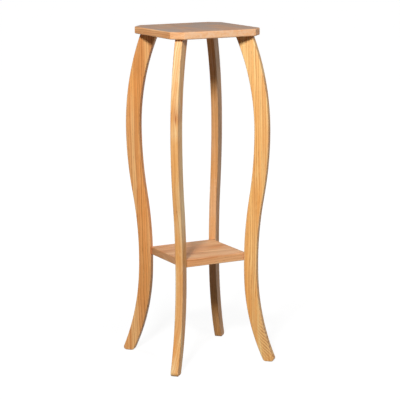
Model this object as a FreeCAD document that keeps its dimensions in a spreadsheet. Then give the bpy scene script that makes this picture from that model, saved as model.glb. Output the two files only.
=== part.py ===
import FreeCAD, Part
import math
import os
import Sketcher

# A tall plant stand: a square top with its corners cut off, a small shelf at a third of the height,
# and four S-curved legs that stand on the diagonals, all sawn from flat oak board and dowelled together.
#
# The origin is on the floor under the middle of the top, +Z is up, and the sides of the top run along
# X and Y. Each piece that belongs to a corner is drawn in that corner's own frame, where X points
# outward along the diagonal, and is then turned about the upright axis to its corner.

# Every driving size in millimetres, apart from the shares.
SIZES = {
    # The stand and its two boards. The overhang is from the legs out to the cut corners of the top.
    "stand_height": "915",
    "top_side": "269",
    "top_thickness": "20",
    "top_corner_flat": "40",
    "top_overhang": "13.2",
    "top_arris_radius": "3.5",
    "shelf_height": "301.5",
    "shelf_thickness": "21",
    "shelf_tip_width": "7.6",
    "shelf_arris_radius": "2",
    "shelf_let_in": "1.5",
    # A leg seen square to its flat sides. From its neck, under the top, its outer edge swells to a belly,
    # draws in to a waist just under the shelf, and kicks out to the foot. Depth is from the outer edge
    # to the inner one, measured level.
    "leg_thickness": "20.6",
    "belly_swell": "46.2",
    "waist_draw": "33.4",
    "foot_kick": "53.1",
    "neck_depth": "46.4",
    "belly_depth": "39.8",
    "waist_depth": "35.6",
    "foot_depth": "32.2",
    "belly_below_top": "255.6",
    "waist_below_shelf": "19.2",
    "ankle_below_waist": "48.8",
    "foot_corner_radius": "8",
    "leg_arris_bevel": "1.4",
    # Dowels and the sockets that take them.
    "top_dowel_diameter": "8",
    "top_dowel_in_leg": "20",
    "top_dowel_in_top": "12",
    "inner_top_dowel_share": "0.36",
    "outer_top_dowel_share": "0.73",
    "shelf_dowel_diameter": "6",
    "shelf_dowel_in_leg": "20",
    "shelf_dowel_in_shelf": "20",
    "socket_clearance": "0.1",
    "socket_end_gap": "1",
    "cut_overrun": "5",
}

# Sizes that follow from the driving ones, as expressions over the sheet. Reach is the level distance from
# the stand's axis, along a diagonal.
LEG_LENGTH = "(Sizes.stand_height - Sizes.top_thickness)"
SHELF_UNDERSIDE = "(Sizes.shelf_height - Sizes.shelf_thickness)"
SHELF_MIDDLE = "(Sizes.shelf_height - Sizes.shelf_thickness / 2)"
BELLY_HEIGHT = f"({LEG_LENGTH} - Sizes.belly_below_top)"
WAIST_HEIGHT = f"({SHELF_MIDDLE} - Sizes.waist_below_shelf)"
ANKLE_HEIGHT = f"({WAIST_HEIGHT} - Sizes.ankle_below_waist)"
TOP_REACH = "(Sizes.top_side / sqrt(2) - Sizes.top_corner_flat / 2)"
NECK_REACH = f"({TOP_REACH} - Sizes.top_overhang)"
BELLY_REACH = f"({NECK_REACH} + Sizes.belly_swell)"
WAIST_REACH = f"({BELLY_REACH} - Sizes.waist_draw)"
FOOT_REACH = f"({WAIST_REACH} + Sizes.foot_kick)"
SEAT_REACH = f"({WAIST_REACH} - Sizes.waist_depth + Sizes.shelf_let_in)"
TOP_SOCKET = "(Sizes.top_dowel_diameter + 2 * Sizes.socket_clearance)"
SHELF_SOCKET = "(Sizes.shelf_dowel_diameter + 2 * Sizes.socket_clearance)"

# Where the two top dowels of a leg stand along the diagonal, as shares of the neck from its inner edge.
TOP_DOWEL_REACHES = {
    side: f"({NECK_REACH} - (1 - Sizes.{side}_top_dowel_share) * Sizes.neck_depth)"
    for side in ("inner", "outer")
}

# The corners in order round the upright axis, and the angles pieces are turned to about it, in degrees. Both
# boards are drawn with their corners on the axes, and are turned to bring their sides there.
CORNERS = ("front_left", "front_right", "back_right", "back_left")
FULL_ANGLE = 360
FIRST_CORNER_ANGLE = -135
BOARD_ANGLE = 45
UPRIGHT = FreeCAD.Vector(0, 0, 1)

doc = FreeCAD.newDocument("plant_stand")
sheet = doc.addObject("Spreadsheet::Sheet", "Sizes")
for row, (alias, number) in enumerate(SIZES.items(), start=1):
    sheet.set(f"B{row}", number)
    sheet.setAlias(f"B{row}", alias)
doc.recompute()


def value(expression):
    """The present value of an expression over the sheet."""
    return float(sheet.evalExpression(expression))


def new_body(label, angle):
    """An empty body, turned about the upright axis."""
    body = doc.addObject("PartDesign::Body", label)
    body.Label = label
    body.Placement.Rotation = FreeCAD.Rotation(UPRIGHT, angle)
    return body


def origin_feature(body, role):
    """One of a body's own origin planes or axes."""
    return next(feature for feature in body.Origin.OriginFeatures if feature.Role == role)


def new_sketch(body, name, role, offset="0"):
    """A sketch on one of the body's origin planes, moved along the plane's normal."""
    sketch = body.newObject("Sketcher::SketchObject", f"{body.Name}_{name}")
    sketch.AttachmentSupport = [(origin_feature(body, role), "")]
    sketch.MapMode = "FlatFace"
    sketch.setExpression("AttachmentOffset.Base.z", offset)
    return sketch


def bind(sketch, constraint, expression):
    """Add a constraint that carries a size, and bind that size to the sheet."""
    index = sketch.addConstraint(constraint)
    sketch.setExpression(f"Constraints[{index}]", expression)


def pin(sketch, geometry, vertex, place):
    """Hold one point of the sketch at a place given as two expressions."""
    for direction, expression in zip(("DistanceX", "DistanceY"), place):
        held = Sketcher.Constraint(direction, -1, 1, geometry, vertex, value(expression))
        bind(sketch, held, expression)


def vector(place):
    """The sketch point at a place given as two expressions."""
    across, up = place
    return FreeCAD.Vector(value(across), value(up), 0)


def draw_polygon(sketch, corners):
    """A closed outline of straight sides."""
    following = corners[1:] + corners[:1]
    sides = [sketch.addGeometry(Part.LineSegment(vector(a), vector(b))) for a, b in zip(corners, following)]
    for side, after, corner in zip(sides, sides[1:] + sides[:1], corners):
        sketch.addConstraint(Sketcher.Constraint("Coincident", side, 2, after, 1))
        pin(sketch, side, 1, corner)


def draw_circle(sketch, centre, diameter):
    """A circle of a given diameter."""
    circle = sketch.addGeometry(Part.Circle(vector(centre), UPRIGHT, value(diameter) / 2))
    bind(sketch, Sketcher.Constraint("Diameter", circle, value(diameter)), diameter)
    pin(sketch, circle, 3, centre)


def draw_arc(sketch, centre, start, end):
    """A circular arc about a centre, counter-clockwise between two points of the sketch."""
    first = start - centre
    last = end - centre
    circle = Part.Circle(centre, UPRIGHT, first.Length)
    begin = math.atan2(first.y, first.x) % math.tau
    sweep = (math.atan2(last.y, last.x) - begin) % math.tau
    return sketch.addGeometry(Part.ArcOfCircle(circle, begin, begin + sweep))


def add_pad(body, sketch, name, length, midplane=False):
    """Thicken a sketch along its normal."""
    pad = body.newObject("PartDesign::Pad", f"{body.Name}_{name}")
    pad.Profile = sketch
    pad.Midplane = midplane
    pad.setExpression("Length", length)
    doc.recompute()
    return pad


def add_pocket(body, sketch, name, depth, reverse=False, midplane=False):
    """Cut a sketch into the body, against its normal unless reversed, and see that it took wood away."""
    before = body.Shape.Volume
    pocket = body.newObject("PartDesign::Pocket", f"{body.Name}_{name}")
    pocket.Profile = sketch
    pocket.Reversed = reverse
    pocket.Midplane = midplane
    pocket.setExpression("Length", depth)
    doc.recompute()
    if not body.Shape.Volume < before:
        raise ValueError(f"{pocket.Name} cuts nothing")
    return pocket


def add_edge_treatment(body, kind, name, base, edges, size_property, size):
    """Round or bevel the named edges of a feature."""
    treatment = body.newObject(f"PartDesign::{kind}", f"{body.Name}_{name}")
    treatment.Base = (base, edges)
    treatment.setExpression(size_property, size)
    doc.recompute()
    return treatment


def add_round_of_corners(body, originals, name):
    """Repeat features of the first corner at all four corners."""
    pattern = body.newObject("PartDesign::PolarPattern", f"{body.Name}_{name}")
    pattern.Originals = originals
    pattern.Axis = (origin_feature(body, "Z_Axis"), [""])
    pattern.Angle = FULL_ANGLE
    pattern.Occurrences = len(CORNERS)
    body.Tip = pattern
    doc.recompute()
    return pattern


def edges_where(feature, wanted):
    """Names of the edges of a feature that pass a test."""
    return [f"Edge{i}" for i, edge in enumerate(feature.Shape.Edges, start=1) if wanted(edge)]


def is_upright(edge):
    """Whether an edge is straight up and down."""
    return edge.BoundBox.ZLength > edge.BoundBox.XLength + edge.BoundBox.YLength


def square_with_cut_corners(reach, flat):
    """Corners of a square that stands on its corners, each cut off at a reach to leave a flat."""
    half = f"({flat} / 2)"
    return [
        (reach, f"-{half}"),
        (reach, half),
        (half, reach),
        (f"-{half}", reach),
        (f"-{reach}", half),
        (f"-{reach}", f"-{half}"),
        (f"-{half}", f"-{reach}"),
        (half, f"-{reach}"),
    ]


# The top: a square board with its corners cut off, every arris rounded, and two sockets under each corner
# for the dowels that stand in the legs.
def make_top_board():
    body = new_body("top_board", BOARD_ANGLE)
    outline = new_sketch(body, "outline", "XY_Plane", LEG_LENGTH)
    draw_polygon(outline, square_with_cut_corners(TOP_REACH, "Sizes.top_corner_flat"))
    board = add_pad(body, outline, "board", "Sizes.top_thickness")
    all_edges = edges_where(board, lambda edge: True)
    add_edge_treatment(
        body, "Fillet", "rounded_arrises", board, all_edges, "Radius", "Sizes.top_arris_radius"
    )
    places = new_sketch(body, "socket_places", "XY_Plane", LEG_LENGTH)
    for reach in TOP_DOWEL_REACHES.values():
        draw_circle(places, (reach, "0"), TOP_SOCKET)
    depth = "Sizes.top_dowel_in_top + Sizes.socket_end_gap"
    sockets = add_pocket(body, places, "sockets", depth, reverse=True)
    add_round_of_corners(body, [sockets], "all_sockets")
    return body


# The shelf: a square board whose tips are cut flat where they meet the legs, rounded all round above and
# below, with a socket in each tip.
def make_shelf():
    body = new_body("shelf", BOARD_ANGLE)
    outline = new_sketch(body, "outline", "XY_Plane", SHELF_UNDERSIDE)
    draw_polygon(outline, square_with_cut_corners(SEAT_REACH, "Sizes.shelf_tip_width"))
    board = add_pad(body, outline, "board", "Sizes.shelf_thickness")
    rims = edges_where(board, lambda edge: not is_upright(edge))
    add_edge_treatment(
        body, "Fillet", "rounded_arrises", board, rims, "Radius", "Sizes.shelf_arris_radius"
    )
    place = new_sketch(body, "socket_place", "YZ_Plane", SEAT_REACH)
    draw_circle(place, ("0", SHELF_MIDDLE), SHELF_SOCKET)
    depth = "Sizes.shelf_dowel_in_shelf + Sizes.socket_end_gap"
    socket = add_pocket(body, place, "socket", depth)
    add_round_of_corners(body, [socket], "all_sockets")
    return body


# One edge of a leg, outer or inner, as four arcs that run smoothly into each other: the ankle from the floor
# up, the waist, upright just under the shelf, the belly's lower half, up to where the edge is upright again,
# and the neck, from there to the top. The waist and the belly bend alike.
def draw_leg_edge(sketch, depth_share):
    neck, belly, waist, foot = (
        f"({reach} - {depth_share} * Sizes.{place}_depth)"
        for place, reach in (
            ("neck", NECK_REACH),
            ("belly", BELLY_REACH),
            ("waist", WAIST_REACH),
            ("foot", FOOT_REACH),
        )
    )
    swell = f"({belly} - {waist})"
    rise = f"({BELLY_HEIGHT} - {WAIST_HEIGHT})"
    bend_radius = f"(({swell} ^ 2 + {rise} ^ 2) / (4 * {swell}))"
    lean = f"({belly} - {neck})"
    neck_radius = f"(({lean} ^ 2 + Sizes.belly_below_top ^ 2) / (2 * {lean}))"
    foot_end = (foot, "0")
    waist_centre = (f"{waist} + {bend_radius}", WAIST_HEIGHT)
    belly_centre = (f"{belly} - {bend_radius}", BELLY_HEIGHT)
    neck_centre = (f"{belly} - {neck_radius}", BELLY_HEIGHT)
    neck_end = (neck, LEG_LENGTH)

    belly_point = vector((belly, BELLY_HEIGHT))
    waist_hub = vector(waist_centre)
    turning_point = (waist_hub + vector(belly_centre)) / 2
    ankle_fall = value("Sizes.ankle_below_waist")
    ankle_inset = math.sqrt(value(bend_radius) ** 2 - ankle_fall**2)
    ankle_top = waist_hub - FreeCAD.Vector(ankle_inset, ankle_fall, 0)
    outward = (waist_hub - ankle_top).normalize()
    stride = vector(foot_end) - ankle_top
    ankle_centre = ankle_top + outward * (stride.Length**2 / (2 * stride.dot(outward)))

    ankle_arc = draw_arc(sketch, ankle_centre, ankle_top, vector(foot_end))
    waist_arc = draw_arc(sketch, waist_hub, turning_point, ankle_top)
    belly_arc = draw_arc(sketch, vector(belly_centre), turning_point, belly_point)
    neck_arc = draw_arc(sketch, vector(neck_centre), belly_point, vector(neck_end))
    for first, first_end, second, second_end in (
        (ankle_arc, 1, waist_arc, 2),
        (waist_arc, 1, belly_arc, 1),
        (belly_arc, 2, neck_arc, 1),
    ):
        sketch.addConstraint(Sketcher.Constraint("Tangent", first, first_end, second, second_end))
    sketch.addConstraint(Sketcher.Constraint("Equal", waist_arc, belly_arc))
    pin(sketch, ankle_arc, 2, foot_end)
    pin(sketch, waist_arc, 3, waist_centre)
    pin(sketch, belly_arc, 3, belly_centre)
    pin(sketch, neck_arc, 2, neck_end)
    for arc, height in ((ankle_arc, ANKLE_HEIGHT), (neck_arc, BELLY_HEIGHT)):
        bind(sketch, Sketcher.Constraint("DistanceY", -1, 1, arc, 1, value(height)), height)
    return {"foot": (ankle_arc, foot_end), "neck": (neck_arc, neck_end)}


# A leg: the S-shaped outline thickened to the board's thickness, rounded at the toe and heel of its foot,
# bevelled along its arrises, trenched across its inner edge for the shelf's tip, and bored for its dowels.
def make_leg(corner, angle):
    body = new_body(f"{corner}_leg", angle)
    outline = new_sketch(body, "outline", "XZ_Plane")
    outer = draw_leg_edge(outline, 0)
    inner = draw_leg_edge(outline, 1)
    for end in outer:
        (outer_arc, outer_place), (inner_arc, inner_place) = outer[end], inner[end]
        saw_cut = outline.addGeometry(Part.LineSegment(vector(outer_place), vector(inner_place)))
        outline.addConstraint(Sketcher.Constraint("Coincident", saw_cut, 1, outer_arc, 2))
        outline.addConstraint(Sketcher.Constraint("Coincident", saw_cut, 2, inner_arc, 2))
    blank = add_pad(body, outline, "blank", "Sizes.leg_thickness", midplane=True)
    foot_line = value(f"{ANKLE_HEIGHT} / 2")
    neck_line = value(f"({BELLY_HEIGHT} + {LEG_LENGTH}) / 2")

    def is_across(edge):
        """Whether an edge runs across the leg, from one flat side to the other."""
        return edge.BoundBox.YLength > edge.Length / 2

    def is_toe_or_heel(edge):
        """Whether an edge runs across the leg where it meets the floor."""
        return is_across(edge) and edge.BoundBox.ZMin < foot_line

    def is_arris(edge):
        """Whether an edge runs along a flat side of the leg, other than under the top."""
        return not is_across(edge) and edge.BoundBox.ZMin < neck_line

    corners = edges_where(blank, is_toe_or_heel)
    foot = add_edge_treatment(
        body, "Fillet", "toe_and_heel", blank, corners, "Radius", "Sizes.foot_corner_radius"
    )
    arrises = edges_where(foot, is_arris)
    add_edge_treatment(
        body, "Chamfer", "bevelled_arrises", foot, arrises, "Size", "Sizes.leg_arris_bevel"
    )
    trench = new_sketch(body, "trench", "XZ_Plane")
    trench_mouth = f"({SEAT_REACH} - Sizes.shelf_let_in - Sizes.cut_overrun)"
    trench_roof = "(Sizes.shelf_height + Sizes.socket_clearance)"
    draw_polygon(
        trench,
        [
            (trench_mouth, SHELF_UNDERSIDE),
            (SEAT_REACH, SHELF_UNDERSIDE),
            (SEAT_REACH, trench_roof),
            (trench_mouth, trench_roof),
        ],
    )
    add_pocket(body, trench, "shelf_trench", "Sizes.leg_thickness + 2 * Sizes.cut_overrun", midplane=True)
    top_places = new_sketch(body, "top_socket_places", "XY_Plane", LEG_LENGTH)
    for reach in TOP_DOWEL_REACHES.values():
        draw_circle(top_places, (reach, "0"), TOP_SOCKET)
    add_pocket(body, top_places, "top_sockets", "Sizes.top_dowel_in_leg + Sizes.socket_end_gap")
    shelf_place = new_sketch(body, "shelf_socket_place", "YZ_Plane", SEAT_REACH)
    draw_circle(shelf_place, ("0", SHELF_MIDDLE), SHELF_SOCKET)
    depth = "Sizes.shelf_dowel_in_leg + Sizes.socket_end_gap"
    add_pocket(body, shelf_place, "shelf_socket", depth, reverse=True)
    return body


# A dowel: a plain round pin.
def make_dowel(label, angle, role, start, centre, diameter, length):
    body = new_body(label, angle)
    section = new_sketch(body, "section", role, start)
    draw_circle(section, centre, diameter)
    add_pad(body, section, "pin", length)
    return body


def make_top_dowel(corner, angle, side):
    start = f"{LEG_LENGTH} - Sizes.top_dowel_in_leg"
    length = "Sizes.top_dowel_in_leg + Sizes.top_dowel_in_top"
    centre = (TOP_DOWEL_REACHES[side], "0")
    label = f"{corner}_{side}_top_dowel"
    return make_dowel(label, angle, "XY_Plane", start, centre, "Sizes.top_dowel_diameter", length)


def make_shelf_dowel(corner, angle):
    start = f"{SEAT_REACH} - Sizes.shelf_dowel_in_shelf"
    length = "Sizes.shelf_dowel_in_shelf + Sizes.shelf_dowel_in_leg"
    centre = ("0", SHELF_MIDDLE)
    label = f"{corner}_shelf_dowel"
    return make_dowel(label, angle, "YZ_Plane", start, centre, "Sizes.shelf_dowel_diameter", length)


pieces = [make_top_board(), make_shelf()]
for index, corner in enumerate(CORNERS):
    angle = FIRST_CORNER_ANGLE + index * FULL_ANGLE / len(CORNERS)
    pieces.append(make_leg(corner, angle))
    pieces.append(make_shelf_dowel(corner, angle))
    for side in TOP_DOWEL_REACHES:
        pieces.append(make_top_dowel(corner, angle, side))
doc.recompute()

# Nothing is written unless every object of the document is sound.
for item in doc.Objects:
    if "Invalid" in item.State or "Error" in item.State:
        raise RuntimeError(f"{item.Label} failed: {item.State}")
for piece in pieces:
    if piece.Shape.isNull() or not piece.Shape.isValid() or len(piece.Shape.Solids) != 1:
        raise RuntimeError(f"{piece.Label} is not one sound solid")

os.makedirs("parts", exist_ok=True)
for piece in pieces:
    piece.Shape.exportStep(f"parts/{piece.Label}.step")
    box = piece.Shape.optimalBoundingBox(False)
    print(f"{piece.Label}: {box.XLength:.1f} x {box.YLength:.1f} x {box.ZLength:.1f} mm")
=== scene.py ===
# %% [markdown]
# # A plant stand of honey oak
# The stand is six sawn boards: a square top with its corners cut off, a small shelf, and four
# S-curved legs standing on the diagonals. Blind dowels inside the joints hold it together.
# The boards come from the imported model, already in place and in metres, so this lesson is about
# everything after the saw: the camera, the light, and a believable piece of oak for each board.

# %% Fetch the boards
import math
import bpy
from mathutils import Matrix, Vector

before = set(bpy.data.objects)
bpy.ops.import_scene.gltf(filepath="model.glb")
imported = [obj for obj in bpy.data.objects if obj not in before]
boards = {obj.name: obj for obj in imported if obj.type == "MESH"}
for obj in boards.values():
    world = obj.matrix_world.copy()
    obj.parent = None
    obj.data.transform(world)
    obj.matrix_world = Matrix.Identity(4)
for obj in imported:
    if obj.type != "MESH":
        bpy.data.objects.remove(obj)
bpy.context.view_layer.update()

print("boards and dowels:", len(boards))

# %% [markdown]
# ## Where the camera stands
# The picture was taken from a little above the top, with a long lens from about four metres, a bit
# to the left of the stand's front. A camera could be turned by hand until it looks right. Here it
# is placed by numbers instead, worked out from the boards' edges, so that every edge falls where
# the picture has it: an azimuth, a height, a downward tilt, and a trace of roll.

# %% Stand the camera
camera_azimuth = math.radians(-27.545)
camera_distance = 4.2496
camera_height = 1.2693
camera_tilt = math.radians(11.034)
camera_roll = math.radians(-0.327)
picture_side = 400
focal_pixels = 1577.2
film_width = 36.0
sideways_shift = 0.00575
furthest_seen = 200.0

camera_data = bpy.data.cameras.new("camera")
camera_data.sensor_width = film_width
camera_data.lens = focal_pixels / picture_side * film_width
camera_data.shift_x = sideways_shift
camera_data.clip_end = furthest_seen
camera = bpy.data.objects.new("camera", camera_data)
bpy.context.scene.collection.objects.link(camera)
camera.matrix_world = (
    Matrix.Translation((camera_distance * math.sin(camera_azimuth),
                        -camera_distance * math.cos(camera_azimuth), camera_height))
    @ Matrix.Rotation(camera_azimuth, 4, "Z")
    @ Matrix.Rotation(math.pi / 2 - camera_tilt, 4, "X")
    @ Matrix.Rotation(camera_roll, 4, "Z"))
bpy.context.scene.camera = camera
print("lens:", round(camera_data.lens, 2), "mm at", [round(v, 3) for v in camera.location])

# %% [markdown]
# ## Wiring nodes in code
# Every finish below is a web of small nodes: noise, sums and ramps. In the editor you would drag the
# wires by hand. Two short helpers do it here, so that a line of code reads like the sum it makes.

# %% Tools for wiring nodes
def feed(tree, value, spot):
    """Joins another node's output to a socket, or sets the socket to a plain value."""
    if isinstance(value, bpy.types.NodeSocket):
        tree.links.new(value, spot)
    else:
        spot.default_value = value


def calc(tree, sum_kind, *values, clamp=False):
    """One Math node."""
    node = tree.nodes.new("ShaderNodeMath")
    node.operation = sum_kind
    node.use_clamp = clamp
    for spot, value in zip(node.inputs, values):
        feed(tree, value, spot)
    return node.outputs[0]


print("wiring tools:", [tool.__name__ for tool in (feed, calc)])

# %% [markdown]
# ## A white room
# The stand was pictured on plain white. A bright world would give that, but it would also light the
# stand from every side and wash out its shadows. So the room shows white to the eye and to
# reflections through the Light Path node, and lights the stand with only a trace of its own.

# %% Paint the room
room_light = 0.012


def seen_by_the_eye(tree):
    """1 for rays that show the white studio: straight to the eye, mirrored, or through glass."""
    path = tree.nodes.new("ShaderNodeLightPath")
    mirrored = calc(tree, "MAXIMUM", path.outputs["Is Camera Ray"], path.outputs["Is Glossy Ray"])
    return calc(tree, "MAXIMUM", mirrored, path.outputs["Is Transmission Ray"])


bpy.context.scene.view_settings.view_transform = "Standard"
room = bpy.data.worlds.new("white_room")
bpy.context.scene.world = room
room.use_nodes = True
room_tree = room.node_tree
background = room_tree.nodes["Background"]
background.inputs["Color"].default_value = (1, 1, 1, 1)
room_strength = calc(room_tree, "MAXIMUM", seen_by_the_eye(room_tree), room_light)
feed(room_tree, room_strength, background.inputs["Strength"])
print("room light on the stand:", room_light)

# %% [markdown]
# ## The floor
# The floor is a white sheet with a faint shadow on it. A plain diffuse sheet would need so much light
# to turn white that the stand would burn out. So to the eye this one glows, a little less close to
# the stand, and a weak share of plain diffuse on top of the glow lets the lamps' shadows show. For
# the light that bounces back to the stand it is only a dull, matt grey.

# %% Two paints for the floor
floor_glow_near = 0.90
floor_glow_far = 1.0
floor_glow_start = 0.4
floor_glow_end = 2.5


def matt_paint(tree, whiteness):
    """A plain diffuse grey."""
    paint = tree.nodes.new("ShaderNodeBsdfDiffuse")
    paint.inputs["Color"].default_value = (whiteness, whiteness, whiteness, 1)
    return paint.outputs[0]


def floor_glow(tree):
    """White light that rises with the distance from the stand."""
    spot = tree.nodes.new("ShaderNodeTexCoord")
    away = tree.nodes.new("ShaderNodeVectorMath")
    away.operation = "LENGTH"
    feed(tree, spot.outputs["Object"], away.inputs[0])
    by_distance = tree.nodes.new("ShaderNodeMapRange")
    for place, number in (("From Min", floor_glow_start), ("From Max", floor_glow_end),
                          ("To Min", floor_glow_near), ("To Max", floor_glow_far)):
        by_distance.inputs[place].default_value = number
    feed(tree, away.outputs["Value"], by_distance.inputs["Value"])
    glow = tree.nodes.new("ShaderNodeEmission")
    feed(tree, by_distance.outputs["Result"], glow.inputs["Strength"])
    return glow.outputs[0]


print("the floor glows", floor_glow_near, "by the stand and", floor_glow_far, "further off")

# %% [markdown]
# ## Mixing the floor paint
# The paints are put together in two steps. An Add Shader lays the diffuse that catches the shadow over
# the glow, because a mix of the two would weaken both. Then a Mix Shader, switched by the kind of
# ray, shows that sum to the eye and the dull grey to all other light.

# %% Mix the floor paint
floor_whiteness = 0.14
floor_shadow_share = 0.16

floor_paint = bpy.data.materials.new("studio_floor")
floor_paint.use_nodes = True
floor_tree = floor_paint.node_tree
floor_tree.nodes.clear()
shown = floor_tree.nodes.new("ShaderNodeAddShader")
feed(floor_tree, matt_paint(floor_tree, floor_shadow_share), shown.inputs[0])
feed(floor_tree, floor_glow(floor_tree), shown.inputs[1])
either = floor_tree.nodes.new("ShaderNodeMixShader")
feed(floor_tree, seen_by_the_eye(floor_tree), either.inputs["Fac"])
feed(floor_tree, matt_paint(floor_tree, floor_whiteness), either.inputs[1])
feed(floor_tree, shown.outputs[0], either.inputs[2])
floor_out = floor_tree.nodes.new("ShaderNodeOutputMaterial")
feed(floor_tree, either.outputs[0], floor_out.inputs["Surface"])
print("floor paint nodes:", len(floor_tree.nodes))

# %% [markdown]
# ## Laying the floor
# A studio sheet is larger than anything that stands on it, so that its edge never shows. The Add menu's
# plane would do, but in a script such a command depends on what is selected.

# %% Lay the floor
half = 30.0
floor_mesh = bpy.data.meshes.new("studio_floor")
floor_corners = [(-half, -half, 0), (half, -half, 0), (half, half, 0), (-half, half, 0)]
floor_mesh.from_pydata(floor_corners, [], [(0, 1, 2, 3)])
floor_mesh.materials.append(floor_paint)
floor = bpy.data.objects.new("studio_floor", floor_mesh)
bpy.context.scene.collection.objects.link(floor)
print("floor:", 2 * half, "m square")

# %% [markdown]
# ## Softboxes
# The shadows on the stand give the main lamp away: a dark band just under the top on each leg, and
# the back leg dark behind the top and behind the shelf. Those bands put a softbox beside the camera,
# about three metres off and two and a half metres up. A sun lamp would make them as sharp as a knife,
# and an area lamp softens them the right way. A weaker box to its right opens up the sides that turn
# away from it. Two larger boxes behind the stand keep its far side readable when you walk round it.
# Those are kept out of reflections, or they would mirror in the top like a low sun.

# %% Hang the softboxes
aim_height = 0.55


def softbox(name, azimuth_degrees, distance, height, side, watts, mirrored=True):
    """A square lamp beside the stand, turned to its middle."""
    azimuth = math.radians(azimuth_degrees)
    lamp_data = bpy.data.lights.new(name, "AREA")
    lamp_data.shape = "SQUARE"
    lamp_data.size = side
    lamp_data.energy = watts
    lamp = bpy.data.objects.new(name, lamp_data)
    bpy.context.scene.collection.objects.link(lamp)
    lamp.visible_glossy = mirrored
    lamp.location = (distance * math.sin(azimuth), -distance * math.cos(azimuth), height)
    middle_of_the_stand = Vector((0, 0, aim_height))
    lamp.rotation_euler = (middle_of_the_stand - lamp.location).to_track_quat("-Z", "Y").to_euler()
    print(name, [round(v, 3) for v in lamp.location], watts, "W")


softbox("front_softbox", -38.5, distance=3.0, height=2.43, side=0.5, watts=109.0)
softbox("fill_softbox", 0.0, distance=3.0, height=2.5, side=0.45, watts=42.0)
softbox("right_softbox", 112.0, distance=2.6, height=1.15, side=1.1, watts=13.0, mirrored=False)
softbox("back_softbox", -155.0, distance=2.6, height=1.15, side=1.1, watts=22.0, mirrored=False)

# %% [markdown]
# ## What oak is made of
# A board is a slice of a log, so its figure is best painted as a solid. Every point is given its
# distance from the pith, the log's centre line, and that distance is cut into yearly rings. Where a
# face lies across the rings they show as arcs, along them as stripes, and where a curved edge
# slides through them as nested arches. A flat wood picture laid on each face could never meet at
# the edges. The raw stuff of all these marks is noise, stretched to their real sizes.

# %% Stretched noise
def stretched(tree, place, factors):
    """A place scaled along each axis."""
    node = tree.nodes.new("ShaderNodeVectorMath")
    node.operation = "MULTIPLY"
    feed(tree, place, node.inputs[0])
    node.inputs[1].default_value = factors
    return node.outputs[0]


def cloud(tree, place, sizes, detail=2.0, roughness=0.5):
    """Soft noise from 0 to 1, whose blotches have these sizes in millimetres."""
    node = tree.nodes.new("ShaderNodeTexNoise")
    node.inputs["Scale"].default_value = 1.0
    node.inputs["Detail"].default_value = detail
    node.inputs["Roughness"].default_value = roughness
    feed(tree, stretched(tree, place, [1.0 / size for size in sizes]), node.inputs["Vector"])
    return node.outputs["Fac"]


print("noise tools:", [tool.__name__ for tool in (stretched, cloud)])

# %% [markdown]
# ## Ramps and blends
# Noise alone is grey fog. A smooth ramp picks out its peaks as marks, and a blend lays one colour over
# another where a mark is. A Color Ramp node does both at once, but its colours are shut up inside it.
# Kept apart, the same mark can be red on one board and brown on the next.

# %% Ramps and blends
def between(tree, value, low, high, low_result=0.0, high_result=1.0):
    """A value's smooth way from low to high."""
    node = tree.nodes.new("ShaderNodeMapRange")
    node.interpolation_type = "SMOOTHSTEP"
    for name, number in (("From Min", low), ("From Max", high),
                         ("To Min", low_result), ("To Max", high_result)):
        node.inputs[name].default_value = number
    feed(tree, value, node.inputs["Value"])
    return node.outputs["Result"]


def blended(tree, share, first, second):
    """Two colours, blended by a share of the second."""
    node = tree.nodes.new("ShaderNodeMix")
    node.data_type = "RGBA"
    feed(tree, share, node.inputs["Factor"])
    feed(tree, first, node.inputs["A"])
    feed(tree, second, node.inputs["B"])
    return node.outputs["Result"]


print("colour tools:", [tool.__name__ for tool in (between, blended)])

# %% [markdown]
# ## One recipe for every board
# All six boards are oak, and only their colours, ring widths and blemishes differ. The wood could be
# wired into six materials, and then every change would have to be made six times. A node group is
# one recipe with sockets: what differs goes in, and colour, roughness and relief come out.

# %% Sockets of the recipe
oak = bpy.data.node_groups.new("sawn_oak", "ShaderNodeTree")
lies_and_marks = [("place", "Vector"), ("swell", "Float"), ("knot heart", "Float"), ("bleach", "Float"),
                  ("feather", "Float"), ("ring width", "Float")]
palette = ["pale wood", "honey wood", "amber streak", "ring line", "pore", "knot"]
for socket_name, kind in lies_and_marks + [(name, "Color") for name in palette]:
    oak.interface.new_socket(socket_name, in_out="INPUT", socket_type="NodeSocket" + kind)
for socket_name, kind in (("colour", "Color"), ("roughness", "Float"), ("relief", "Float")):
    oak.interface.new_socket(socket_name, in_out="OUTPUT", socket_type="NodeSocket" + kind)
given = oak.nodes.new("NodeGroupInput").outputs
ready = oak.nodes.new("NodeGroupOutput").inputs
print("oak recipe has", len(oak.interface.items_tree), "sockets")

# %% [markdown]
# ## Bent rings
# A trunk is never quite round, so its rings sway and shiver on the boards. A Wave texture makes rings
# too, but even ones that all look alike. Here the distance from the pith is bent by two noises, a slow
# one and a fine one, and where a branch grew the board's swell is added to it.

# %% Bend the rings
sway_patch, sway_reach = (55, 55, 420), 26.0
shiver_patch, shiver_reach = (7, 7, 60), 2.2


def drift(patch, reach):
    """Noise that bends the rings, half its reach to either side, in millimetres."""
    return calc(oak, "MULTIPLY", calc(oak, "SUBTRACT", cloud(oak, given["place"], patch), 0.5), reach)


from_pith = oak.nodes.new("ShaderNodeVectorMath")
from_pith.operation = "LENGTH"
feed(oak, stretched(oak, given["place"], (1, 1, 0)), from_pith.inputs[0])
swayed = calc(oak, "ADD", from_pith.outputs["Value"], drift(sway_patch, sway_reach))
bent = calc(oak, "ADD", drift(shiver_patch, shiver_reach), given["swell"])
radius = calc(oak, "ADD", swayed, bent)
print("rings sway by up to", sway_reach / 2, "mm and shiver by up to", shiver_reach / 2, "mm")

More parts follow.
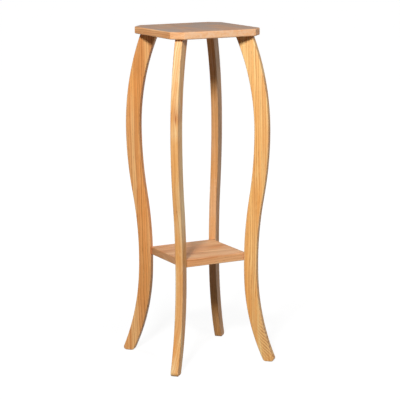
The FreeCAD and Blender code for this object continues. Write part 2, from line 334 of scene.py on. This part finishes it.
# %% [markdown]
# ## Years and seasons
# Each year an oak lays down open spring wood and then dense autumn wood, and the border of two years
# shows as a line. Divided by the ring width, the whole part of the radius numbers the year and the
# fraction tells the season. One ramp could draw every line alike. A lot drawn for each border makes
# some strong and some faint, and it is drawn early enough for autumn and the next spring to share it.

# %% Count the years
spring_end = 0.36
autumn_start = 0.84
autumn_lead = 0.14
faintest_line = 0.25

year = calc(oak, "DIVIDE", radius, given["ring width"])
season = calc(oak, "FRACT", year)
spring = between(oak, season, 0.0, spring_end, 1.0, 0.0)
autumn = between(oak, season, autumn_start, 1.0)
ring = calc(oak, "MAXIMUM", spring, autumn)
lot = oak.nodes.new("ShaderNodeTexWhiteNoise")
lot.noise_dimensions = "1D"
feed(oak, calc(oak, "FLOOR", calc(oak, "ADD", year, autumn_lead)), lot.inputs["W"])
ring_strength = calc(oak, "MULTIPLY_ADD", lot.outputs["Value"], 1 - faintest_line, faintest_line)
ring_mark = calc(oak, "MULTIPLY", ring, ring_strength)
print("with rings, the recipe has", len(oak.nodes), "nodes")

# %% [markdown]
# ## Streaks
# Some runs of years are darker than others, which gives a board bands of amber that follow its rings.
# Noise in plain space would cut straight across them. So this noise is read at a place that is
# measured the log's own way: how far out, how far round, and how far up.

# %% Streaks that follow the rings
round_scale = 90.0
broad_streak, broad_from, broad_to = (8.5, 140, 700), 0.38, 0.62
narrow_streak, narrow_from, narrow_to = (3.4, 70, 320), 0.42, 0.64

split = oak.nodes.new("ShaderNodeSeparateXYZ")
feed(oak, given["place"], split.inputs[0])
bearing = calc(oak, "ARCTAN2", split.outputs["Y"], split.outputs["X"])
round_the_log = calc(oak, "MULTIPLY", bearing, round_scale)
out_round_up = oak.nodes.new("ShaderNodeCombineXYZ")
feed(oak, radius, out_round_up.inputs["X"])
feed(oak, round_the_log, out_round_up.inputs["Y"])
feed(oak, split.outputs["Z"], out_round_up.inputs["Z"])
broad = cloud(oak, out_round_up.outputs[0], broad_streak, detail=1.0)
narrow = cloud(oak, out_round_up.outputs[0], narrow_streak, detail=2.0, roughness=0.6)
amber_mark = between(oak, broad, broad_from, broad_to)
streak_mark = between(oak, narrow, narrow_from, narrow_to)
print("with streaks, the recipe has", len(oak.nodes), "nodes")

# %% [markdown]
# ## Feather marks
# Where a sawn curve runs out through the grain, the wood shows short slanting marks like the barbs of
# a feather. Rings cut at a low angle give them only by luck. A slanted band that repeats every few
# millimetres, shaken by noise, puts them where a board asks for them.

# %% Slanting barbs
barb_spacing = 9.0
barb_slant = 0.9
barb_patch, barb_wobble = (9, 9, 9), 0.9
barb_from, barb_to = 0.16, 0.42

slanted = calc(oak, "MULTIPLY_ADD", split.outputs["X"], barb_slant, split.outputs["Z"])
wobble = calc(oak, "MULTIPLY", cloud(oak, given["place"], barb_patch), barb_wobble)
along_barb = calc(oak, "FRACT", calc(oak, "MULTIPLY_ADD", slanted, 1 / barb_spacing, wobble))
barb = between(oak, calc(oak, "PINGPONG", along_barb, 0.5), barb_from, barb_to)
barb_mark = calc(oak, "MULTIPLY", barb, given["feather"])
print("with feathers, the recipe has", len(oak.nodes), "nodes")

# %% [markdown]
# ## Pores and rays
# Oak is known by its pores, fine dark dashes along the grain that crowd together in the rings, and by
# its rays, pale flecks that stand across them. They could be scattered one by one as little shapes.
# Stretched noise with only its peaks kept costs far less, and its sizes are those of the real
# marks: a pore is half a millimetre wide and a centimetre long.

# %% Pores and rays
pore_size, pore_from, pore_to = (0.55, 0.55, 11.0), 0.56, 0.70
pores_between_rings = 0.2
ray_size, ray_from, ray_to = (1.1, 13.0, 24.0), 0.60, 0.72

dashes = between(oak, cloud(oak, given["place"], pore_size, detail=1.0), pore_from, pore_to)
crowding = calc(oak, "MULTIPLY_ADD", ring, 1 - pores_between_rings, pores_between_rings)
pore_mark = calc(oak, "MULTIPLY", dashes, crowding)
round_out_up = oak.nodes.new("ShaderNodeCombineXYZ")
feed(oak, round_the_log, round_out_up.inputs["X"])
feed(oak, from_pith.outputs["Value"], round_out_up.inputs["Y"])
feed(oak, split.outputs["Z"], round_out_up.inputs["Z"])
ray_mark = between(oak, cloud(oak, round_out_up.outputs[0], ray_size, detail=1.0), ray_from, ray_to)
print("with pores and rays, the recipe has", len(oak.nodes), "nodes")

# %% [markdown]
# ## Colour
# The marks become wood by laying them over each other like a painter's glazes, from the broadest to
# the finest. One colour ramp could hold all the tones, but then no mark could be strengthened without
# the others. So each glaze is a row of its own: its mark, its strength and its colour.

# %% Lay the glazes
patch_size, patch_from, patch_to = (38, 38, 190), 0.30, 0.70
glazes = ((amber_mark, 0.5, "amber streak"),
          (streak_mark, 0.4, "ring line"),
          (ring_mark, 0.8, "ring line"),
          (given["feather"], 0.5, "pale wood"),
          (barb_mark, 0.55, "knot"),
          (ray_mark, 0.22, "pale wood"),
          (pore_mark, 0.50, "pore"),
          (given["knot heart"], 0.85, "knot"))

patches = between(oak, cloud(oak, given["place"], patch_size, detail=3.0), patch_from, patch_to)
warmth = calc(oak, "SUBTRACT", patches, given["bleach"], clamp=True)
wood_colour = blended(oak, warmth, given["pale wood"], given["honey wood"])
for mark, strength, colour_name in glazes:
    share = calc(oak, "MULTIPLY", mark, strength, clamp=True)
    wood_colour = blended(oak, share, wood_colour, given[colour_name])
feed(oak, wood_colour, ready["colour"])
print("glazes over the ground colour:", len(glazes))

# %% [markdown]
# ## Gloss and relief
# Rubbed oil is never even: it is a little duller in soft smears, and dull in the pores that it didn't
# fill. New noise for the gloss would drift away from the colour. The marks that coloured the wood
# also set its roughness and relief here, so a dark pore is a dull and sunken one too.

# %% Gloss and relief
satin_roughness = 0.40
smear_size, smear_roughness = (30, 30, 60), 0.16
pore_roughness = 0.14
pore_depth = -0.8
ring_depth = -0.35

smears = cloud(oak, given["place"], smear_size, detail=4.0, roughness=0.6)
gloss = calc(oak, "MULTIPLY_ADD", smears, smear_roughness, satin_roughness)
feed(oak, calc(oak, "MULTIPLY_ADD", pore_mark, pore_roughness, gloss, clamp=True), ready["roughness"])
ring_relief = calc(oak, "MULTIPLY", ring_mark, ring_depth)
feed(oak, calc(oak, "MULTIPLY_ADD", pore_mark, pore_depth, ring_relief), ready["relief"])
print("the finished recipe has", len(oak.nodes), "nodes")

# %% [markdown]
# ## From the recipe to one board
# Every board needs to know how it lay in its log: which way its grain runs and where the pith was. An
# unwrapped map could hold that, drawn anew for each board. Two Mapping nodes need no drawing. The first
# turns the stand's coordinates into the board's own, in millimetres with the grain along Z. The
# second leans the log a little and sets the pith off to one side.

# %% How a board lies in its log
per_metre = 1000
millimetres = (per_metre, per_metre, per_metre)


def log_place(tree, board_turn, pith, lean):
    """Places in the board and in its log, in millimetres with the grain along Z."""
    spot = tree.nodes.new("ShaderNodeTexCoord")
    board = tree.nodes.new("ShaderNodeMapping")
    board.inputs["Scale"].default_value = millimetres
    board.inputs["Rotation"].default_value = board_turn
    feed(tree, spot.outputs["Object"], board.inputs["Vector"])
    log = tree.nodes.new("ShaderNodeMapping")
    log.inputs["Rotation"].default_value = (lean[0], lean[1], 0)
    log.inputs["Location"].default_value = (-pith[0], -pith[1], 0)
    feed(tree, board.outputs["Vector"], log.inputs["Vector"])
    return board.outputs["Vector"], log.outputs["Vector"]


print("boards are measured in metres times", per_metre)

# %% [markdown]
# ## Marked places
# Where a branch once grew, the rings swell round a dark heart. Other places are bleached, or sawn
# against the grain. They could be painted on the mesh by hand. A smooth hump in space marks such a
# place on every face that passes through it: it has a centre, a reach each way, and a height.

# %% Humps for knots and other marks
def hump(tree, board, centre, reach):
    """A smooth hump, 1 at its centre."""
    away = tree.nodes.new("ShaderNodeVectorMath")
    away.operation = "SUBTRACT"
    feed(tree, board, away.inputs[0])
    away.inputs[1].default_value = centre
    scaled = stretched(tree, away.outputs[0], [1.0 / size for size in reach])
    square = tree.nodes.new("ShaderNodeVectorMath")
    square.operation = "DOT_PRODUCT"
    feed(tree, scaled, square.inputs[0])
    feed(tree, scaled, square.inputs[1])
    return calc(tree, "EXPONENT", calc(tree, "MULTIPLY", square.outputs["Value"], -1.0))


def humps(tree, board, places):
    """The sum of several humps, or 0 where there are none."""
    result = 0.0
    for centre, reach, height in places:
        raised = calc(tree, "MULTIPLY", hump(tree, board, centre, reach), height)
        result = calc(tree, "ADD", result, raised)
    return result


print("mark tools:", [tool.__name__ for tool in (hump, humps)])

# %% [markdown]
# ## End grain and painted light
# Wood sawn across the grain drinks up more of the finish, so the ends of a board differ in tone. The
# tint here is partly that tone and partly painted light and shade, which sets the ends apart from the
# long sides in brightness where the lamps alone don't. The end faces could be picked out one by one.
# Their normals do it by themselves: turned into the board's own axes, a normal that points along Z
# belongs to an end.

# %% End grain and painted light
def shade(code):
    """A colour code such as #e0a060 as the linear numbers that a shader takes."""
    parts = [int(code[i:i + 2], 16) / 255 for i in (1, 3, 5)]
    return tuple(p / 12.92 if p <= 0.04045 else ((p + 0.055) / 1.055) ** 2.4 for p in parts) + (1.0,)


# The end tint is partly the ends' own tone and partly painted light and shade.
end_from, end_to = 0.45, 0.95
end_patch, end_patch_from, end_patch_to = (8, 8, 40), 0.35, 0.65
least_end_share = 0.45


def end_tint_and_light(tree, board, board_turn, colour, tint, share):
    """Tints the faces sawn across the grain, partly as painted light and shade."""
    face = tree.nodes.new("ShaderNodeNewGeometry")
    turned = tree.nodes.new("ShaderNodeMapping")
    turned.vector_type = "VECTOR"
    turned.inputs["Rotation"].default_value = board_turn
    feed(tree, face.outputs["Normal"], turned.inputs["Vector"])
    along = tree.nodes.new("ShaderNodeSeparateXYZ")
    feed(tree, turned.outputs["Vector"], along.inputs[0])
    across_grain = between(tree, calc(tree, "ABSOLUTE", along.outputs["Z"]), end_from, end_to)
    end_share_here = between(tree, cloud(tree, board, end_patch, detail=3.0), end_patch_from, end_patch_to,
                     least_end_share * share, share)
    return blended(tree, calc(tree, "MULTIPLY", across_grain, end_share_here), colour, shade(tint))


print("an end of #e4bb96 is", [round(v, 3) for v in shade("#e4bb96")])

# %% [markdown]
# ## Worn and sheened faces
# Pots, water and dusting have worn the faces that look up. Their tint is partly that wear and partly
# painted light: on the top a painted sheen and painted shade grey and darken it, and on the shelf a
# painted sheen pales it. A mask could be painted for each board, but the normal finds such a face on
# any board, because it points up there. Noise makes the tint patchy.

# %% Worn and sheened faces
up_from, up_to = 0.55, 0.95
wear_and_sheen_patch, wear_and_sheen_from, wear_and_sheen_to = (60, 60, 90), 0.35, 0.65


# The upward tint is partly wear and partly painted sheen and painted shade.
def worn_and_sheened_face(tree, board, colour, roughness, tint, most, least, dulness):
    """Tints and dulls the faces that look up: wear, with painted sheen and painted shade."""
    face = tree.nodes.new("ShaderNodeNewGeometry")
    looks = tree.nodes.new("ShaderNodeSeparateXYZ")
    feed(tree, face.outputs["Normal"], looks.inputs[0])
    upward = between(tree, looks.outputs["Z"], up_from, up_to)
    patchy = between(tree, cloud(tree, board, wear_and_sheen_patch, detail=4.0), wear_and_sheen_from, wear_and_sheen_to, least, most)
    dulled = calc(tree, "MAXIMUM", roughness, calc(tree, "MULTIPLY", upward, dulness))
    return blended(tree, calc(tree, "MULTIPLY", upward, patchy), colour, shade(tint)), dulled


print("a face counts as upward from a slope of", round(math.degrees(math.acos(up_from))), "degrees")

# %% [markdown]
# ## Rubbed and highlighted arrises
# Hands have rubbed the arrises of the legs pale, and the pale rim is also a painted highlight where the
# curved arrises catch the light from above. The Geometry node's Pointiness finds edges too, but only as
# finely as the mesh is divided, and the flat faces of these boards are hardly divided. A Bevel node is
# asked instead: near an arris its normal turns away from the face's own.

# %% Rubbed and highlighted arrises
# The pale arris rim is partly rubbed wear and partly a painted highlight.
edge_samples = 6
rub_and_highlight_width = 0.003
rub_and_highlight_from, rub_and_highlight_to = 0.004, 0.10
rub_and_highlight_patch, rub_and_highlight_patch_from, rub_and_highlight_patch_to = (14, 14, 45), 0.34, 0.62
least_rub_and_highlight = 0.15


def softened(tree, width):
    """The normal as if each arris were rounded over this width."""
    bevel = tree.nodes.new("ShaderNodeBevel")
    bevel.samples = edge_samples
    bevel.inputs["Radius"].default_value = width
    return bevel.outputs["Normal"]


def rubbed_and_lit_arris(tree, board, colour, tint, share):
    """Pales the arrises: rubbed wear and a painted highlight."""
    face = tree.nodes.new("ShaderNodeNewGeometry")
    likeness = tree.nodes.new("ShaderNodeVectorMath")
    likeness.operation = "DOT_PRODUCT"
    feed(tree, softened(tree, rub_and_highlight_width), likeness.inputs[0])
    feed(tree, face.outputs["Normal"], likeness.inputs[1])
    turned_away = calc(tree, "SUBTRACT", 1.0, likeness.outputs["Value"])
    near_arris = between(tree, turned_away, rub_and_highlight_from, rub_and_highlight_to)
    patchy = between(tree, cloud(tree, board, rub_and_highlight_patch, detail=3.0), rub_and_highlight_patch_from, rub_and_highlight_patch_to,
                     least_rub_and_highlight * share, share)
    return blended(tree, calc(tree, "MULTIPLY", near_arris, patchy), colour, shade(tint))


print("arrises are rubbed over", rub_and_highlight_width * per_metre, "mm")

# %% [markdown]
# ## The satin coat
# All six boards have the same satin coat: softened arrises, shallow pores and a low shine. A modifier
# could round the arrises, but the boards keep the shape they were sawn to, so a Bevel node softens
# them in the shading only.

# %% The satin coat
eased_width = 0.0016
relief_strength = 0.35
relief_depth = 0.0003
satin_shine = 0.25


def satin_coat(tree, colour, roughness, relief):
    """Sets the shader of a board."""
    bump = tree.nodes.new("ShaderNodeBump")
    bump.inputs["Strength"].default_value = relief_strength
    bump.inputs["Distance"].default_value = relief_depth
    feed(tree, relief, bump.inputs["Height"])
    feed(tree, softened(tree, eased_width), bump.inputs["Normal"])
    satin = tree.nodes["Principled BSDF"]
    feed(tree, colour, satin.inputs["Base Color"])
    feed(tree, roughness, satin.inputs["Roughness"])
    feed(tree, bump.outputs["Normal"], satin.inputs["Normal"])
    satin.inputs["Specular IOR Level"].default_value = satin_shine


print("arrises look rounded over", eased_width * per_metre, "mm")

# %% [markdown]
# ## One board from start to end
# A finish is now put together as in the workshop: a slice of the log goes into the recipe, wear goes
# over the colour, and the coat goes on last. Six materials wired by hand would look the same, but one
# function keeps them alike when something changes.

# %% Oil one board
finishes = {}


def oak_board(name, board_turn, pith, lean, pale, honey, amber, line, pore="#6b4020", knot="#a2501c",
              ring_width=6.0, knots=(), hearts=(), bleached=(), feathers=(),
              rubbed_and_lit=None, end_tint_and_shade=None, wear_and_sheen=None):
    """Makes the finish of one board and keeps it under its name."""
    finish = bpy.data.materials.new(name)
    finish.use_nodes = True
    tree = finish.node_tree
    board, log = log_place(tree, board_turn, pith, lean)
    wood = tree.nodes.new("ShaderNodeGroup")
    wood.node_tree = oak
    feed(tree, log, wood.inputs["place"])
    wood.inputs["ring width"].default_value = ring_width
    for socket_name, places in (("swell", knots), ("knot heart", hearts),
                                ("bleach", bleached), ("feather", feathers)):
        feed(tree, humps(tree, board, places), wood.inputs[socket_name])
    for socket_name, code in zip(palette, (pale, honey, amber, line, pore, knot)):
        wood.inputs[socket_name].default_value = shade(code)
    colour = wood.outputs["colour"]
    roughness = wood.outputs["roughness"]
    if rubbed_and_lit:
        colour = rubbed_and_lit_arris(tree, board, colour, **rubbed_and_lit)
    if end_tint_and_shade:
        colour = end_tint_and_light(tree, board, board_turn, colour, **end_tint_and_shade)
    if wear_and_sheen:
        colour, roughness = worn_and_sheened_face(tree, board, colour, roughness, **wear_and_sheen)
    satin_coat(tree, colour, roughness, wood.outputs["relief"])
    finishes[name] = finish
    print(name, "has", len(tree.nodes), "nodes")


print("a board is mixed from", len(palette), "colours")

# %% [markdown]
# ## The top and the shelf
# The top's grain runs from front to back, so two of its sides show end grain. It was sawn flat, with
# the pith far below it, which gives a broad figure on the surface. Years of pots have dulled it, and
# its grey is partly that wear and partly painted sheen and painted shade. The shelf's grain runs the
# other way, and its face is only a little worn; its pale tint is partly that wear and partly painted
# sheen.
# One board could be copied for the other, but the eye finds a repeated figure at once, so each has its
# own log.

# %% Oil the top and the shelf
quarter = math.pi / 2
oak_board("top_oak", (quarter, 0, 0), pith=(15, -560), lean=(0.02, 0.015), ring_width=4.0,
          pale="#f5c28a", honey="#eda868", amber="#e19652", line="#c37940",
          # End tint: partly end-grain tone, partly painted light and shade.
          end_tint_and_shade=dict(tint="#e4bb96", share=0.9),
          # Upward tint: partly wear, partly painted sheen and painted shade.
          wear_and_sheen=dict(tint="#a99a91", most=0.90, least=0.55, dulness=0.78))
oak_board("shelf_oak", (0, -quarter, 0), pith=(-120, 40), lean=(0.05, 0.03), ring_width=5.5,
          pale="#f0c493", honey="#e2a26b", amber="#d38a51", line="#b06a38",
          # End tint: partly end-grain tone, partly painted light and shade.
          end_tint_and_shade=dict(tint="#d39966", share=0.8),
          # Upward tint: partly wear, partly painted sheen.
          wear_and_sheen=dict(tint="#e2ba94", most=0.28, least=0.0, dulness=0.55))

# %% [markdown]
# ## Four legs from four planks
# The legs are the same shape but were not cut from one plank, and the picture shows it: the leg at
# the left is redder, the one at the right is paler and yellower and has feather marks on its curves,
# and the front one is nearly cream near the top and has two knots. One finish for all four would be
# quicker, and it would look printed. So each gets its own log, colours and marks. A leg's own X points
# out along its diagonal, Y across its thickness and Z up, so three plain numbers place a knot.

# %% Oil the front legs
def leg_turn(corner_degrees):
    """Turns the stand's coordinates so that X points out along a leg's diagonal."""
    return (0, 0, -math.radians(corner_degrees))


oak_board("front_left_leg_oak", leg_turn(-135), pith=(150, -100), lean=(0.010, -0.012),
          pale="#f1d29d", honey="#e7a860", amber="#dd974f", line="#d28c48", pore="#8a5a30",
          # Arris rim: partly rubbed wear, partly a painted highlight.
          rubbed_and_lit=dict(tint="#fbdcae", share=0.3),
          knots=[((178, 6, 690), (40, 8, 22), 6.0), ((163, 0, 443), (20, 5, 10), 4.0)],
          hearts=[((178, 4, 703), (60, 10, 22), 0.48), ((178, 4.5, 690), (60, 2.0, 12), 0.9),
                  ((163, 0, 443), (25, 2.4, 3.2), 1.1)],
          bleached=[((165, 0, 860), (60, 60, 70), 0.8), ((178, -6, 652), (60, 20, 20), 0.7)])
oak_board("front_right_leg_oak", leg_turn(-45), pith=(40, 60), lean=(-0.008, 0.012),
          pale="#f8cf8b", honey="#efb166", amber="#e89c4e", line="#c67630",
          # Arris rim: partly rubbed wear, partly a painted highlight.
          rubbed_and_lit=dict(tint="#fddcae", share=0.65),
          knots=[((208, -10, 128), (24, 40, 72), 40.0), ((216, -10, 520), (15, 40, 70), 30.0)],
          feathers=[((201, 0, 38), (15, 40, 30), 1.1), ((188, 0, 84), (13, 40, 34), 1.0),
                    ((211, 0, 535), (10, 40, 45), 0.9), ((190, 0, 375), (9, 40, 38), 0.9)],
          bleached=[((165, 0, 830), (60, 60, 140), 0.7), ((185, 0, 20), (60, 60, 90), 0.7)])

# %% [markdown]
# ## The back legs
# The two legs behind have calm, straight grain and no knots. The front finishes could be used again,
# but their marks would turn up at the same heights. Two more logs cost two calls.

# %% Oil the back legs
oak_board("back_right_leg_oak", leg_turn(45), pith=(140, 100), lean=(0.012, 0.008),
          pale="#f1c89c", honey="#e9ac6a", amber="#de9955", line="#c38348",
          # Arris rim: partly rubbed wear, partly a painted highlight.
          rubbed_and_lit=dict(tint="#f8d3a4", share=0.25))
oak_board("back_left_leg_oak", leg_turn(135), pith=(20, -60), lean=(0.010, -0.010),
          pale="#fcc482", honey="#f1ab61", amber="#e5924a", line="#b8662b",
          # Arris rim: partly rubbed wear, partly a painted highlight.
          rubbed_and_lit=dict(tint="#fbd09a", share=0.3),
          bleached=[((185, 0, 20), (60, 60, 130), 0.7)])

# %% [markdown]
# ## Dowels
# The dowels sit inside the joints and show only if the stand is taken apart. Dowel rod is turned
# from a close, pale hardwood with no visible pores. The oak recipe would give it pores and rays, so
# it gets a quieter wood of its own, with fine streaks and soft blotches.

# %% Colour the dowel wood
rod_streak_size, rod_streak_from, rod_streak_to = (0.8, 0.8, 14.0), 0.35, 0.68
rod_blotch_size, rod_blotch_share = (9.0, 9.0, 30.0), 0.4

dowel_wood = bpy.data.materials.new("dowel_wood")
dowel_wood.use_nodes = True
rod_tree = dowel_wood.node_tree
rod = rod_tree.nodes["Principled BSDF"]
rod_spot = rod_tree.nodes.new("ShaderNodeTexCoord")
rod_place = stretched(rod_tree, rod_spot.outputs["Object"], millimetres)
rod_streak = cloud(rod_tree, rod_place, rod_streak_size, detail=3.0)
streaked = between(rod_tree, rod_streak, rod_streak_from, rod_streak_to)
rod_colour = blended(rod_tree, streaked, shade("#ecd6b0"), shade("#d2ae7d"))
rod_blotch = calc(rod_tree, "MULTIPLY", cloud(rod_tree, rod_place, rod_blotch_size), rod_blotch_share)
rod_colour = blended(rod_tree, rod_blotch, rod_colour, shade("#dcbc8c"))
feed(rod_tree, rod_colour, rod.inputs["Base Color"])
print("dowel colour takes", len(rod_tree.nodes), "nodes")

# %% [markdown]
# ## A dry surface
# Glue holds only on bare wood, so dowels are left raw. One roughness for the whole rod would look like
# putty. The streaks that colour it also make it rougher and stand a little proud.

# %% Leave the dowels raw
rod_roughness, rod_streak_roughness = 0.6, 0.2
rod_relief_strength, rod_relief_depth = 0.2, 0.0002

dryness = calc(rod_tree, "MULTIPLY_ADD", rod_streak, rod_streak_roughness, rod_roughness)
feed(rod_tree, dryness, rod.inputs["Roughness"])
rod_bump = rod_tree.nodes.new("ShaderNodeBump")
rod_bump.inputs["Strength"].default_value = rod_relief_strength
rod_bump.inputs["Distance"].default_value = rod_relief_depth
feed(rod_tree, rod_streak, rod_bump.inputs["Height"])
feed(rod_tree, rod_bump.outputs["Normal"], rod.inputs["Normal"])
finishes["dowel_wood"] = dowel_wood
print("dowel wood has", len(rod_tree.nodes), "nodes")

# %% [markdown]
# ## Hand out the finishes
# Each board came with a plain stand-in material in its slot, named for the finish it wants. The
# finishes could be set board by board. Going by the slots' names takes the twelve dowels along too.

# %% Put each finish on its boards
for board in boards.values():
    for slot in board.material_slots:
        wanted = slot.material.name.split(".")[0]
        slot.material = finishes[wanted]
for name, board in boards.items():
    if "dowel" not in name:
        print(name, "is finished in", board.material_slots[0].material.name)
